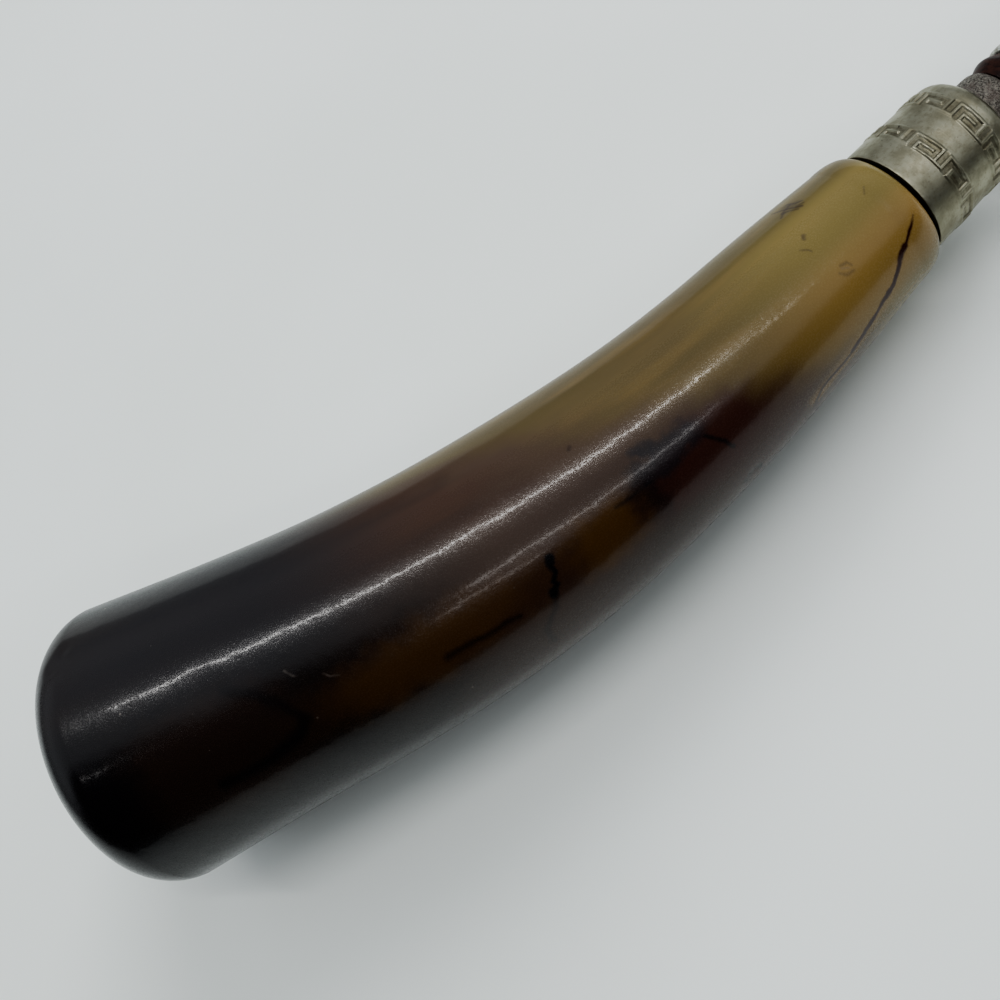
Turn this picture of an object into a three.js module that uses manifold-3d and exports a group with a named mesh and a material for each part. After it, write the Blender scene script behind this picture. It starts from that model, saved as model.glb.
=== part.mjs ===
// A horn-handled sharpening steel, lying on a table.
//
// Lengths are in millimetres and +Z is up. The handle frame, used while the pieces are made, has its
// X axis along the tang and the steel, with x = 0 at the horn side of the collar and +X towards the
// tip of the steel. The horn runs back from there and bends towards +Y.
import * as THREE from 'three';
import { mergeVertices } from 'three/addons/utils/BufferGeometryUtils.js';
import Module from 'manifold-3d';

const wasm = await Module();
wasm.setup();

// ---- driving dimensions ----

const GAP = 0.3; // clearance kept between neighbouring pieces

// Horn: radius of the round section at distances behind the collar.
const HORN_LENGTH = 161.5; // along the curved centreline, collar to butt
const BUTT_EDGE_RADIUS = 7.9;
const HORN_STATIONS = [
  { behind: 6, radius: 12.3 },
  { behind: 22, radius: 14.1 },
  { behind: 46, radius: 16.3 },
  { behind: 72, radius: 18.9 },
  { behind: 96, radius: 20.6 },
  { behind: 126, radius: 22.5 },
  { behind: HORN_LENGTH - BUTT_EDGE_RADIUS, radius: 25.1 },
];
const SHOULDER_END_RADIUS = 10.1; // the horn rounds over to this at the collar
const BEND_START = 30; // behind the collar
const BEND_END = 119;
const BEND_ANGLE = THREE.MathUtils.degToRad(19.4);
const SPIGOT_LENGTH = 12; // the part of the horn that goes into the collar
const BORE_RADIUS = 5.2; // drilled for the tang
const BORE_DEPTH = 95; // behind the collar
const BORE_POINT = 4; // the cone that the drill leaves
const DRILL_OVERRUN = 1; // the drill starts this far outside the spigot

// Collar: a thin tapered shell with a domed far end.
const COLLAR_LENGTH = 18;
const COLLAR_NEAR_RADIUS = 10.3;
const COLLAR_FAR_RADIUS = 9.6;
const COLLAR_WALL = 0.7;
const COLLAR_DOME_RADIUS = 2.4;

// Neck, bead and guard, threaded on the tang after the collar.
const NECK_START = 12.6;
const NECK_END = 23.6;
const NECK_RADIUS = 5.9;
const NECK_EDGE = 1.6;
const BEAD_END = 28.3;
const BEAD_RIM_RADIUS = 5.1;
const BEAD_MIDDLE_RADIUS = 5.9;
const HUB_RADIUS = 5.7;
const HUB_LENGTH = 6.6;
const GUARD_END = 40.0;
const GUARD_RADIUS = 11;
const GUARD_EDGE = 1.4;
const GUARD_FILLET = 2;

// Steel: a ribbed round rod and its tang in one piece.
const TANG_RADIUS = 3.4;
const TANG_END_RADIUS = 2.4;
const TANG_TAPER_START = -20;
const TANG_END = -88;
const STEEL_TIP = 290;
const STEEL_SHOULDER_RADIUS = 6.4;
const STEEL_SHOULDER_LENGTH = 5;
const STEEL_SHOULDER_SLOPE = 2;
const STEEL_ROOT_RADIUS = 5.6;
const STEEL_TIP_RADIUS = 4.4;
const STEEL_POINT_LENGTH = 7;

// Resting place on three points, which are the butt, the belly of the horn and the tip of the steel:
// rolled about its length, then tilted tip down.
const REST_ROLL = THREE.MathUtils.degToRad(7.11);
const REST_PITCH = THREE.MathUtils.degToRad(2.3);

// Fineness of the round shapes: flats round each piece, and steps along its curves.
const HORN_SIDES = 44;
const COLLAR_SIDES = 48;
const TURNED_SIDES = 40;
const STEEL_SIDES = 32;
const BORE_SIDES = 24;
const HORN_CURVE_STEPS = 24;
const BEAD_CURVE_STEPS = 10;
const LARGE_ARC_STEPS = 8;
const ARC_STEPS = 6;
const SMALL_ARC_STEPS = 4;
const WELD_DISTANCE = 1e-4;

// ---- helpers ----

const point = (x, radius) => new THREE.Vector2(radius, x);

// Points of a quarter turn between two places on an outline. It leaves the first place along the
// axis and reaches the second one square to it, or the other way round.
function quarter(from, to, steps, leavesAlongAxis) {
  const points = [];
  for (let step = 1; step <= steps; step += 1) {
    const angle = (step / steps) * (Math.PI / 2);
    const along = leavesAlongAxis ? Math.sin(angle) : 1 - Math.cos(angle);
    const across = leavesAlongAxis ? 1 - Math.cos(angle) : Math.sin(angle);
    points.push(point(
      from.y + (to.y - from.y) * along,
      from.x + (to.x - from.x) * across,
    ));
  }
  return points;
}

// Turns an outline of (x, radius) points about the X axis.
function revolve(outline, sides) {
  const geometry = new THREE.LatheGeometry(outline, sides);
  return geometry.rotateZ(-Math.PI / 2);
}

function toSolid(geometry) {
  const bare = geometry.clone();
  bare.deleteAttribute('normal');
  bare.deleteAttribute('uv');
  const welded = mergeVertices(bare, WELD_DISTANCE);
  const index = welded.index.array;
  const triVerts = [];
  for (let i = 0; i < index.length; i += 3) {
    const [a, b, c] = [index[i], index[i + 1], index[i + 2]];
    if (a !== b && b !== c && c !== a) {
      triVerts.push(a, b, c);
    }
  }
  return new wasm.Manifold(new wasm.Mesh({
    numProp: 3,
    vertProperties: welded.attributes.position.array,
    triVerts: new Uint32Array(triVerts),
  }));
}

function toGeometry(solid) {
  const mesh = solid.getMesh();
  const geometry = new THREE.BufferGeometry();
  geometry.setAttribute('position', new THREE.BufferAttribute(mesh.vertProperties, 3));
  geometry.setIndex(new THREE.BufferAttribute(mesh.triVerts, 1));
  geometry.computeVertexNormals();
  return geometry;
}

function metal(colour, roughness) {
  return new THREE.MeshStandardMaterial({ color: colour, roughness, metalness: 1 });
}

function dull(colour, roughness) {
  return new THREE.MeshStandardMaterial({ color: colour, roughness, metalness: 0 });
}

function piece(name, geometry, material) {
  const mesh = new THREE.Mesh(geometry, material);
  mesh.name = name;
  return mesh;
}

// ---- horn ----

// Moves a point of the straight horn onto the bent one: a straight run, an arc, a straight run.
function bend(position) {
  const behind = -position.x;
  if (behind <= BEND_START) {
    return;
  }
  const arcLength = BEND_END - BEND_START;
  const arcRadius = arcLength / BEND_ANGLE;
  const onArc = Math.min(behind - BEND_START, arcLength);
  const heading = onArc / arcRadius;
  const afterArc = behind - BEND_START - onArc;
  const back = BEND_START + arcRadius * Math.sin(heading) + afterArc * Math.cos(heading);
  const aside = arcRadius * (1 - Math.cos(heading)) + afterArc * Math.sin(heading);
  position.set(
    -back + position.y * Math.sin(heading),
    aside + position.y * Math.cos(heading),
    position.z,
  );
}

function hornOutline() {
  const stations = HORN_STATIONS.map((s) => point(-s.behind, s.radius)).reverse();
  const side = new THREE.SplineCurve(stations).getPoints(HORN_CURVE_STEPS);
  const rimOfButt = side[0];
  const shoulder = side[side.length - 1];
  const flat = point(-HORN_LENGTH, rimOfButt.x - BUTT_EDGE_RADIUS);
  return [
    point(-HORN_LENGTH, 0),
    flat,
    ...quarter(flat, rimOfButt, LARGE_ARC_STEPS, false),
    ...side.slice(1),
    ...quarter(shoulder, point(-GAP, SHOULDER_END_RADIUS), ARC_STEPS, true),
    point(-GAP, COLLAR_NEAR_RADIUS - COLLAR_WALL - GAP),
    point(SPIGOT_LENGTH, COLLAR_FAR_RADIUS - COLLAR_WALL - GAP),
    point(SPIGOT_LENGTH, 0),
  ];
}

function hornHandle() {
  const body = revolve(hornOutline(), HORN_SIDES);
  const positions = body.attributes.position;
  const corner = new THREE.Vector3();
  for (let i = 0; i < positions.count; i += 1) {
    corner.fromBufferAttribute(positions, i);
    bend(corner);
    positions.setXYZ(i, corner.x, corner.y, corner.z);
  }
  const drillStart = SPIGOT_LENGTH + DRILL_OVERRUN;
  const bore = revolve([
    point(-BORE_DEPTH - BORE_POINT, 0),
    point(-BORE_DEPTH, BORE_RADIUS),
    point(drillStart, BORE_RADIUS),
    point(drillStart, 0),
  ], BORE_SIDES);
  return toGeometry(toSolid(body).subtract(toSolid(bore)));
}

// ---- collar and the pieces threaded on the tang ----

function collar() {
  const domeStart = COLLAR_LENGTH - COLLAR_DOME_RADIUS;
  const outerEdge = point(domeStart, COLLAR_FAR_RADIUS);
  const outerTop = point(COLLAR_LENGTH, COLLAR_FAR_RADIUS - COLLAR_DOME_RADIUS);
  const innerEdge = point(domeStart, COLLAR_FAR_RADIUS - COLLAR_WALL);
  const innerTop = point(COLLAR_LENGTH - COLLAR_WALL, outerTop.x);
  const hole = NECK_RADIUS + GAP;
  const outside = [
    point(0, COLLAR_NEAR_RADIUS),
    outerEdge,
    ...quarter(outerEdge, outerTop, ARC_STEPS, true),
    point(COLLAR_LENGTH, hole),
  ];
  const inside = [
    point(COLLAR_LENGTH - COLLAR_WALL, hole),
    innerTop,
    ...quarter(innerEdge, innerTop, ARC_STEPS, true).reverse().slice(1),
    innerEdge,
    point(0, COLLAR_NEAR_RADIUS - COLLAR_WALL),
    point(0, COLLAR_NEAR_RADIUS),
  ];
  return revolve([...outside, ...inside], COLLAR_SIDES);
}

function neck() {
  const bore = TANG_RADIUS + GAP;
  const edge = point(NECK_END - NECK_EDGE, NECK_RADIUS);
  const rim = point(NECK_END, NECK_RADIUS - NECK_EDGE / 2);
  return revolve([
    point(NECK_START, bore),
    point(NECK_START, NECK_RADIUS),
    edge,
    ...quarter(edge, rim, SMALL_ARC_STEPS, true),
    point(NECK_END, bore),
    point(NECK_START, bore),
  ], TURNED_SIDES);
}

function bead() {
  const bore = TANG_RADIUS + GAP;
  const start = NECK_END + GAP;
  const barrel = new THREE.SplineCurve([
    point(start, BEAD_RIM_RADIUS),
    point((start + BEAD_END) / 2, BEAD_MIDDLE_RADIUS),
    point(BEAD_END, BEAD_RIM_RADIUS),
  ]);
  return revolve([
    point(start, bore),
    ...barrel.getPoints(BEAD_CURVE_STEPS),
    point(BEAD_END, bore),
    point(start, bore),
  ], TURNED_SIDES);
}

function guard() {
  const bore = TANG_RADIUS + GAP;
  const start = BEAD_END + GAP;
  const hubEnd = point(start + HUB_LENGTH, HUB_RADIUS);
  const discStart = GUARD_END - 2 * GUARD_EDGE;
  const discFoot = point(discStart, HUB_RADIUS + GUARD_FILLET);
  const nearRim = point(discStart, GUARD_RADIUS - GUARD_EDGE);
  const rimMiddle = point(GUARD_END - GUARD_EDGE, GUARD_RADIUS);
  const farRim = point(GUARD_END, GUARD_RADIUS - GUARD_EDGE);
  return revolve([
    point(start, bore),
    point(start, HUB_RADIUS),
    hubEnd,
    ...quarter(hubEnd, discFoot, ARC_STEPS, true),
    nearRim,
    ...quarter(nearRim, rimMiddle, SMALL_ARC_STEPS, false),
    ...quarter(rimMiddle, farRim, SMALL_ARC_STEPS, true),
    point(GUARD_END, bore),
    point(start, bore),
  ], TURNED_SIDES);
}

// ---- steel and the cement that holds its tang ----

function steel() {
  const seat = GUARD_END + GAP;
  const shoulderEnd = point(seat + STEEL_SHOULDER_LENGTH, STEEL_SHOULDER_RADIUS);
  const root = point(shoulderEnd.y + STEEL_SHOULDER_SLOPE, STEEL_ROOT_RADIUS);
  const pointStart = point(STEEL_TIP - STEEL_POINT_LENGTH, STEEL_TIP_RADIUS);
  return revolve([
    point(TANG_END, 0),
    point(TANG_END, TANG_END_RADIUS),
    point(TANG_TAPER_START, TANG_RADIUS),
    point(seat, TANG_RADIUS),
    point(seat, STEEL_SHOULDER_RADIUS),
    shoulderEnd,
    root,
    pointStart,
    ...quarter(pointStart, point(STEEL_TIP, 0), ARC_STEPS, true),
  ], STEEL_SIDES);
}

function tangCement() {
  const outside = BORE_RADIUS - GAP;
  const inside = TANG_RADIUS + GAP;
  return revolve([
    point(TANG_END, inside),
    point(TANG_END, outside),
    point(SPIGOT_LENGTH, outside),
    point(SPIGOT_LENGTH, inside),
    point(TANG_END, inside),
  ], BORE_SIDES);
}

// ---- assembly ----

const pieces = new THREE.Group();
pieces.add(
  piece('horn_handle', hornHandle(), dull(0x4a3a26, 0.25)),
  piece('collar', collar(), metal(0xaaa88f, 0.35)),
  piece('neck', neck(), metal(0x5c5954, 0.6)),
  piece('bead', bead(), dull(0x36251c, 0.3)),
  piece('guard', guard(), metal(0x9a9c96, 0.35)),
  piece('steel', steel(), metal(0x8b8c8a, 0.4)),
  piece('tang_cement', tangCement(), dull(0x5a4636, 0.9)),
);
pieces.rotation.set(REST_ROLL, REST_PITCH, 0, 'YXZ');

// The origin is under the middle of the object's box, on the table.
const part = new THREE.Group();
part.add(pieces);
part.updateMatrixWorld(true);
const box = new THREE.Box3().setFromObject(part, true);
const middle = box.getCenter(new THREE.Vector3());
pieces.position.set(-middle.x, -middle.y, -box.min.z);

export default part;
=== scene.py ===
# The looks of a horn-handled sharpening steel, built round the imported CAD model.
# Pieces are made in the handle frame of the CAD source: millimetres, x = 0 at the horn side of the
# collar, +X towards the tip of the steel, the horn running back from there and bending towards +Y.
import math

import bpy
import numpy as np
from mathutils import Euler, Matrix, Vector


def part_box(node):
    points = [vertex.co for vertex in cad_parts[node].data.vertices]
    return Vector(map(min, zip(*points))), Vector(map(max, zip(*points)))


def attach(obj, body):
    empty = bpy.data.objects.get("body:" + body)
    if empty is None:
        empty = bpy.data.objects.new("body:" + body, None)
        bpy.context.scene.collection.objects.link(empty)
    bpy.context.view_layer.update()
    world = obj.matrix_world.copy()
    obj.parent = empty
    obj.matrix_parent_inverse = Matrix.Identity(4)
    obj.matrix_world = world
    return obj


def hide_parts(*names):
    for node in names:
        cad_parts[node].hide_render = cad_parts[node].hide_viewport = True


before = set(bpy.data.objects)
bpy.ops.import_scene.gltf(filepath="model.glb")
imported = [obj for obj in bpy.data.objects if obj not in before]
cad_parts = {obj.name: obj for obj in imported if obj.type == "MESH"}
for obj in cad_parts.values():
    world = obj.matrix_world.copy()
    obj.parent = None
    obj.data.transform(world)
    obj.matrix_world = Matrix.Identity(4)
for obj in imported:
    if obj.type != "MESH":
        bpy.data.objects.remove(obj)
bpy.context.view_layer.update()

MM = 0.001

# Handle frame: how the object rests, as in the CAD source.
REST_ROLL = math.radians(7.11)
REST_PITCH = math.radians(2.3)

# Horn, along its centreline behind the collar. A station is a distance and the radius there.
HORN_LENGTH = 161.5
BUTT_EDGE_RADIUS = 7.9
HORN_STATIONS = (
    (6, 12.3), (22, 14.1), (46, 16.3), (72, 18.9), (96, 20.6), (126, 22.5),
    (HORN_LENGTH - BUTT_EDGE_RADIUS, 25.1),
)
SHOULDER_END_RADIUS = 10.1
BEND_START = 30
BEND_END = 119
BEND_ANGLE = math.radians(19.4)
SPIGOT_LENGTH = 12
BORE_RADIUS = 5.2
BORE_DEPTH = 95
BORE_POINT = 4
HORN_SIDES = 260

# Collar
COLLAR_LENGTH = 18
COLLAR_NEAR_RADIUS = 10.3
COLLAR_FAR_RADIUS = 9.6
COLLAR_WALL = 0.7
COLLAR_DOME_RADIUS = 2.4
COLLAR_LIP = 0.15
COLLAR_SIDES = 620

# Pieces on the tang
TANG_RADIUS = 3.4
NECK_START = 12.6
NECK_END = 23.6
NECK_RADIUS = 5.9
NECK_EDGE = 1.6
NECK_SIDES = 240
BEAD_START = 23.9
BEAD_END = 28.3
BEAD_RIM_RADIUS = 5.1
BEAD_MIDDLE_RADIUS = 5.9
BEAD_SIDES = 160
GUARD_START = 28.6
GUARD_END = 40
HUB_RADIUS = 5.7
HUB_LENGTH = 6.6
HUB_EDGE = 0.4
GUARD_RADIUS = 11
GUARD_EDGE = 1.4
GUARD_FILLET = 2
GUARD_SIDES = 200
STEEL_START = 40.3
STEEL_TIP = 290
STEEL_SHOULDER_RADIUS = 6.4
STEEL_SHOULDER_LENGTH = 5
STEEL_SHOULDER_EDGE = 0.5
STEEL_ROOT_RADIUS = 5.6
STEEL_TIP_RADIUS = 4.4
STEEL_POINT_LENGTH = 7
RIBS = 60
RIB_DEPTH = 0.12
RIB_SIDES = 6  # sides of the mesh to one rib
TANG_END = -88
TANG_END_RADIUS = 2.4
TANG_TAPER_START = -20
GAP = 0.3


# ---- placing ----

def handle_to_world():
    """The handle frame's place in the row frame, taken from the bead, which is the same both ways."""
    turn = Euler((REST_ROLL, REST_PITCH, 0)).to_matrix()
    low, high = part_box("bead")
    bead_middle = Vector(((BEAD_START + BEAD_END) / 2, 0, 0)) * MM
    origin = (low + high) / 2 - turn @ bead_middle
    return Matrix.Translation(origin) @ turn.to_4x4()


TO_WORLD = handle_to_world()


def to_world(points):
    """Handle-frame millimetres to row-frame metres, for an array of points."""
    matrix = np.array(TO_WORLD)
    return points * MM @ matrix[:3, :3].T + matrix[:3, 3]


def world_point(x, y, z):
    return TO_WORLD @ (Vector((x, y, z)) * MM)


def world_direction(x, y, z):
    return (TO_WORLD.to_3x3() @ Vector((x, y, z))).normalized()


# ---- outlines: arrays of (x, radius) ----

def quarter(start, end, steps, leaves_along):
    """A quarter ellipse between two outline points, without the first one."""
    angle = np.linspace(0, math.pi / 2, steps + 1)[1:]
    slow = 1 - np.cos(angle)
    fast = np.sin(angle)
    along, across = (fast, slow) if leaves_along else (slow, fast)
    start = np.array(start, float)
    end = np.array(end, float)
    return np.stack([
        start[0] + (end[0] - start[0]) * along,
        start[1] + (end[1] - start[1]) * across,
    ], axis=1)


def run(start, end, step):
    """Evenly spaced points on a straight line, without the first one."""
    start = np.array(start, float)
    end = np.array(end, float)
    count = max(1, math.ceil(np.linalg.norm(end - start) / step))
    share = np.linspace(0, 1, count + 1)[1:, None]
    return start + (end - start) * share


def catmull_rom(points, steps):
    """A smooth curve through the points, as the CAD source's spline."""
    points = np.array(points, float)
    padded = np.vstack([points[:1], points, points[-1:]])
    t = np.linspace(0, 1, steps, endpoint=False)[:, None]
    curve = []
    for before, start, end, after in zip(padded, padded[1:], padded[2:], padded[3:]):
        leave = (end - before) / 2
        arrive = (after - start) / 2
        curve.append(
            (2 * start - 2 * end + leave + arrive) * t ** 3
            + (-3 * start + 3 * end - 2 * leave - arrive) * t ** 2
            + leave * t + start
        )
    return np.vstack(curve + [points[-1:]])


def outline(*parts):
    return np.vstack([np.atleast_2d(np.array(part, float)) for part in parts])


# ---- meshes ----

def revolve(name, profile, sides, shape, ring=False, sharp_deg=40):
    """A closed body turned about the X axis.

    The profile starts and ends on the axis, or with ring=True closes on itself. shape(place) takes
    and gives an array of points, and bends, embosses or roughens the body. Each vertex keeps its
    place before that in the attribute "place", which the materials read, in millimetres.
    """
    angle = np.arange(sides) * (2 * math.pi / sides)
    rows = profile if ring else profile[1:-1]
    grid = np.stack([
        np.repeat(rows[:, :1], sides, axis=1),
        rows[:, 1:] * np.cos(angle),
        rows[:, 1:] * np.sin(angle),
    ], axis=2)
    place = grid.reshape(-1, 3)
    count = len(rows)
    index = np.arange(count * sides).reshape(count, sides)
    lower = index if ring else index[:-1]
    upper = np.roll(index, -1, axis=0) if ring else index[1:]
    quads = np.stack([
        lower, upper, np.roll(upper, -1, axis=1), np.roll(lower, -1, axis=1),
    ], axis=2).reshape(-1, 4)
    faces = [tuple(q) for q in quads.tolist()]
    if not ring:
        ends = np.array([[profile[0, 0], 0, 0], [profile[-1, 0], 0, 0]])
        place = np.vstack([place, ends])
        first, last = len(place) - 2, len(place) - 1
        for a, b in zip(index[0], np.roll(index[0], -1)):
            faces.append((first, int(a), int(b)))
        for a, b in zip(index[-1], np.roll(index[-1], -1)):
            faces.append((last, int(b), int(a)))
    return add_mesh(name, to_world(shape(place)), faces, place, sharp_deg)


def add_mesh(name, vertices, faces, place, sharp_deg):
    mesh = bpy.data.meshes.new(name)
    mesh.from_pydata(vertices.tolist(), [], faces)
    attribute = mesh.attributes.new("place", "FLOAT_VECTOR", "POINT")
    attribute.data.foreach_set("vector", place.astype(np.float32).ravel())
    mesh.validate()
    mesh.shade_smooth()
    mesh.set_sharp_from_angle(angle=math.radians(sharp_deg))
    piece = bpy.data.objects.new(name, mesh)
    bpy.context.scene.collection.objects.link(piece)
    return piece


def finish_piece(piece, node, slot, paint):
    piece.data.materials.append(material(slot, paint))
    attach(piece, "root")
    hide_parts(node)


def wobble(x, y, z, scale, seed):
    """Smooth noise from a few crossed waves, about -1 to 1."""
    random = np.random.default_rng(seed)
    total = np.zeros(x.shape)
    waves = 24
    for _ in range(waves):
        direction = random.normal(size=3)
        direction *= random.uniform(0.5, 1.5) / np.linalg.norm(direction) * scale
        total += np.sin(direction[0] * x + direction[1] * y + direction[2] * z + random.uniform(0, 6.3))
    return total / math.sqrt(waves)


# ---- horn ----

def horn_side():
    stations = [(-behind, radius) for behind, radius in reversed(HORN_STATIONS)]
    return catmull_rom(stations, steps=44)


def horn_radius(behind):
    side = horn_side()
    return float(np.interp(-behind, side[:, 0], side[:, 1]))


def horn_place(behind, degrees):
    """A point on the straight horn's skin, by its distance behind the collar and its angle from +Y."""
    radius = horn_radius(behind)
    angle = math.radians(degrees)
    return -behind, radius * math.cos(angle), radius * math.sin(angle)


def bend(place):
    """Bends points of the straight horn: a straight run, an arc, a straight run."""
    behind = -place[:, 0]
    arc_length = BEND_END - BEND_START
    arc_radius = arc_length / BEND_ANGLE
    on_arc = np.clip(behind - BEND_START, 0, arc_length)
    heading = on_arc / arc_radius
    after = np.clip(behind - BEND_END, 0, None)
    before = np.clip(behind, None, BEND_START)
    back = before + arc_radius * np.sin(heading) + after * np.cos(heading)
    aside = arc_radius * (1 - np.cos(heading)) + after * np.sin(heading)
    return np.stack([
        -back + place[:, 1] * np.sin(heading),
        aside + place[:, 1] * np.cos(heading),
        place[:, 2],
    ], axis=1)


# Small hollows knocked into the horn: distance behind the collar, degrees from +Y, how far across,
# and depth.
HORN_DENTS = ((154, 60, 3.0, 0.35), (152.5, 53, 2.2, 0.2), (45.5, 168, 2.5, 0.12), (131, 95, 7, 0.1))


def hand_finish(place):
    """Slight flats and swells left by scraping the horn by hand, and a few knocks."""
    x, y, z = place.T
    radius = np.hypot(y, z)
    angle = np.arctan2(z, y)
    swell = 0.07 * np.sin(2 * angle + x / 31) + 0.05 * np.sin(3 * angle - x / 19 + 1)
    ripple = 0.012 * np.sin(9 * angle + 2 * np.sin(x / 26)) * np.sin(x / 17 + 2)
    lift = swell + ripple - 0.1
    for behind, degrees, across, depth in HORN_DENTS:
        middle = np.array(horn_place(behind, degrees))
        distance = np.linalg.norm(place - middle, axis=1)
        lift -= depth * np.exp(-(2 * distance / across) ** 2)
    outside = np.clip((radius - SHOULDER_END_RADIUS) / 3, 0, 1)
    scale = 1 + outside * lift / np.maximum(radius, 1)
    return np.stack([x, y * scale, z * scale], axis=1)


SHOULDER_GAP = 0.5  # how far the horn's shoulder stands off the collar where the gap is widest
SHOULDER_GAP_SIDE = math.radians(105)
SHOULDER_GAP_REACH = 5  # how far back along the horn the shoulder is drawn out


def horn_shape(place):
    """The finished horn: its shoulder sits a little crooked against the collar, then it is bent."""
    x, y, z = place.T
    in_bore = (np.hypot(y, z) < BORE_RADIUS + 0.01) & (x > -BORE_DEPTH - BORE_POINT - 1)
    shaped = hand_finish(place)
    towards_gap = 0.5 + 0.5 * np.cos(np.arctan2(z, y) - SHOULDER_GAP_SIDE)
    on_shoulder = np.clip((x + SHOULDER_GAP_REACH) / SHOULDER_GAP_REACH, 0, 1) * (x < 0)
    shaped[:, 0] -= on_shoulder * SHOULDER_GAP * towards_gap
    return np.where(in_bore[:, None], place, bend(shaped))


def build_horn():
    side = horn_side()
    flat_edge = (-HORN_LENGTH, side[0, 1] - BUTT_EDGE_RADIUS)
    shoulder_end = (-GAP, SHOULDER_END_RADIUS)
    spigot_root = (-GAP, COLLAR_NEAR_RADIUS - COLLAR_WALL - GAP)
    spigot_end = (SPIGOT_LENGTH, COLLAR_FAR_RADIUS - COLLAR_WALL - GAP)
    profile = outline(
        (-HORN_LENGTH, 0),
        run((-HORN_LENGTH, 0), flat_edge, 1.0),
        quarter(flat_edge, side[0], 28, leaves_along=False),
        side[1:],
        quarter(side[-1], shoulder_end, 16, leaves_along=True),
        spigot_root,
        run(spigot_root, spigot_end, 3),
        (SPIGOT_LENGTH, BORE_RADIUS),
        run((SPIGOT_LENGTH, BORE_RADIUS), (-BORE_DEPTH, BORE_RADIUS), 6),
        (-BORE_DEPTH - BORE_POINT, 0),
    )
    horn = revolve("horn_polished", profile, HORN_SIDES, horn_shape, sharp_deg=50)
    finish_piece(horn, "horn_handle", "horn", paint_horn)


# ---- collar ----

# Two stamped key bands. The strip was rolled and soldered, so the pattern breaks at a seam below.
KEY_BANDS = ((4.75, 103), (12.0, 113.5))  # where each band starts, and the degrees of one upright
KEY_PITCH = math.radians(38)
KEY_TOP = 2.35  # from the middle of the base line to the middle of the top line
KEY_MIDDLE = 1.2  # from the middle of the base line to the middle of the inner hook's top
KEY_HOOK = 5.2  # breadth of the outer hook
KEY_INNER = 3.75  # breadth of the inner hook
KEY_TONGUE = 1.35  # where the inner hook's top line ends
UPRIGHT_HALF = 0.3  # half the breadth of a line across the strip
LINE_HALF = 0.24  # half the breadth of a line along the strip
KEY_EDGE = 0.26  # over which a line rises
KEY_RAISED = 0.24
KEY_SUNK = 0.08
KEY_MARGIN = 0.1  # sunk ground beyond the top and base lines
SEAM_ANGLE = -math.pi / 2


def key_line(across, up, strokes):
    """Distance from places on the strip to the raised lines, below zero on the lines."""
    nearest = np.full(across.shape, 9.0)
    for (a0, b0), (a1, b1) in strokes:
        beside = np.maximum(min(a0, a1) - UPRIGHT_HALF - across, across - max(a0, a1) - UPRIGHT_HALF)
        beyond = np.maximum(min(b0, b1) - LINE_HALF - up, up - max(b0, b1) - LINE_HALF)
        nearest = np.minimum(nearest, np.maximum(beside, beyond))
    return nearest


def key_relief(x, angle):
    """Height of the stamped bands above the plain metal: raised lines, and sunk ground between."""
    pitch = KEY_PITCH * COLLAR_NEAR_RADIUS
    outer = ((0, 0), (0, KEY_TOP), (KEY_HOOK, KEY_TOP), (KEY_HOOK, 0), (pitch, 0))
    inner = ((0, 0), (KEY_INNER, 0), (KEY_INNER, KEY_MIDDLE), (KEY_TONGUE, KEY_MIDDLE))
    strokes = list(zip(outer, outer[1:])) + list(zip(inner, inner[1:]))
    from_seam = (angle - SEAM_ANGLE) % (2 * math.pi)
    relief = np.zeros(x.shape)
    for start, upright in KEY_BANDS:
        wobble_x = 0.07 * np.sin(3.1 * angle + start) + 0.05 * np.sin(8 * angle + 2 * start)
        up = x - start - LINE_HALF + wobble_x
        upright_from_seam = (math.radians(upright) - SEAM_ANGLE) % (2 * math.pi)
        turns = (upright_from_seam - from_seam) / KEY_PITCH + 0.012 * np.sin(13 * angle + start)
        across = turns % 1.0 * pitch
        distance = key_line(across, up, strokes)
        distance = np.minimum(distance, key_line(across - pitch, up, strokes))
        distance = np.minimum(distance, key_line(across + pitch, up, strokes))
        line = np.clip(0.5 - distance / KEY_EDGE, 0, 1)
        band = np.minimum(up, KEY_TOP - up) + LINE_HALF + KEY_MARGIN
        ground = np.clip(band / 0.25, 0, 1)
        smooth_line = line * line * (3 - 2 * line)
        relief += np.where(line > 0, KEY_RAISED * smooth_line, 0)
        relief -= KEY_SUNK * ground * (1 - smooth_line)
    return relief


# Hollows of long use in the collar: along, degrees from +Y, length, breadth in degrees, depth.
COLLAR_DENTS = (
    (9.6, 54, 1.6, 14, 0.14),
    (2.4, 120, 1.4, 12, 0.1),
    (8.6, 92, 1.1, 6, 0.08),
    (14.5, 138, 2.0, 11, 0.12),
    (6.3, 93, 1.2, 7, 0.08),
    (10.5, 150, 2.2, 15, 0.1),
    (2.6, 97, 1.0, 5, 0.05),
    (9.5, 250, 2.5, 16, 0.15),
)
SEAM_DEPTH = 0.08
SEAM_WIDTH = 0.15


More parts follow.
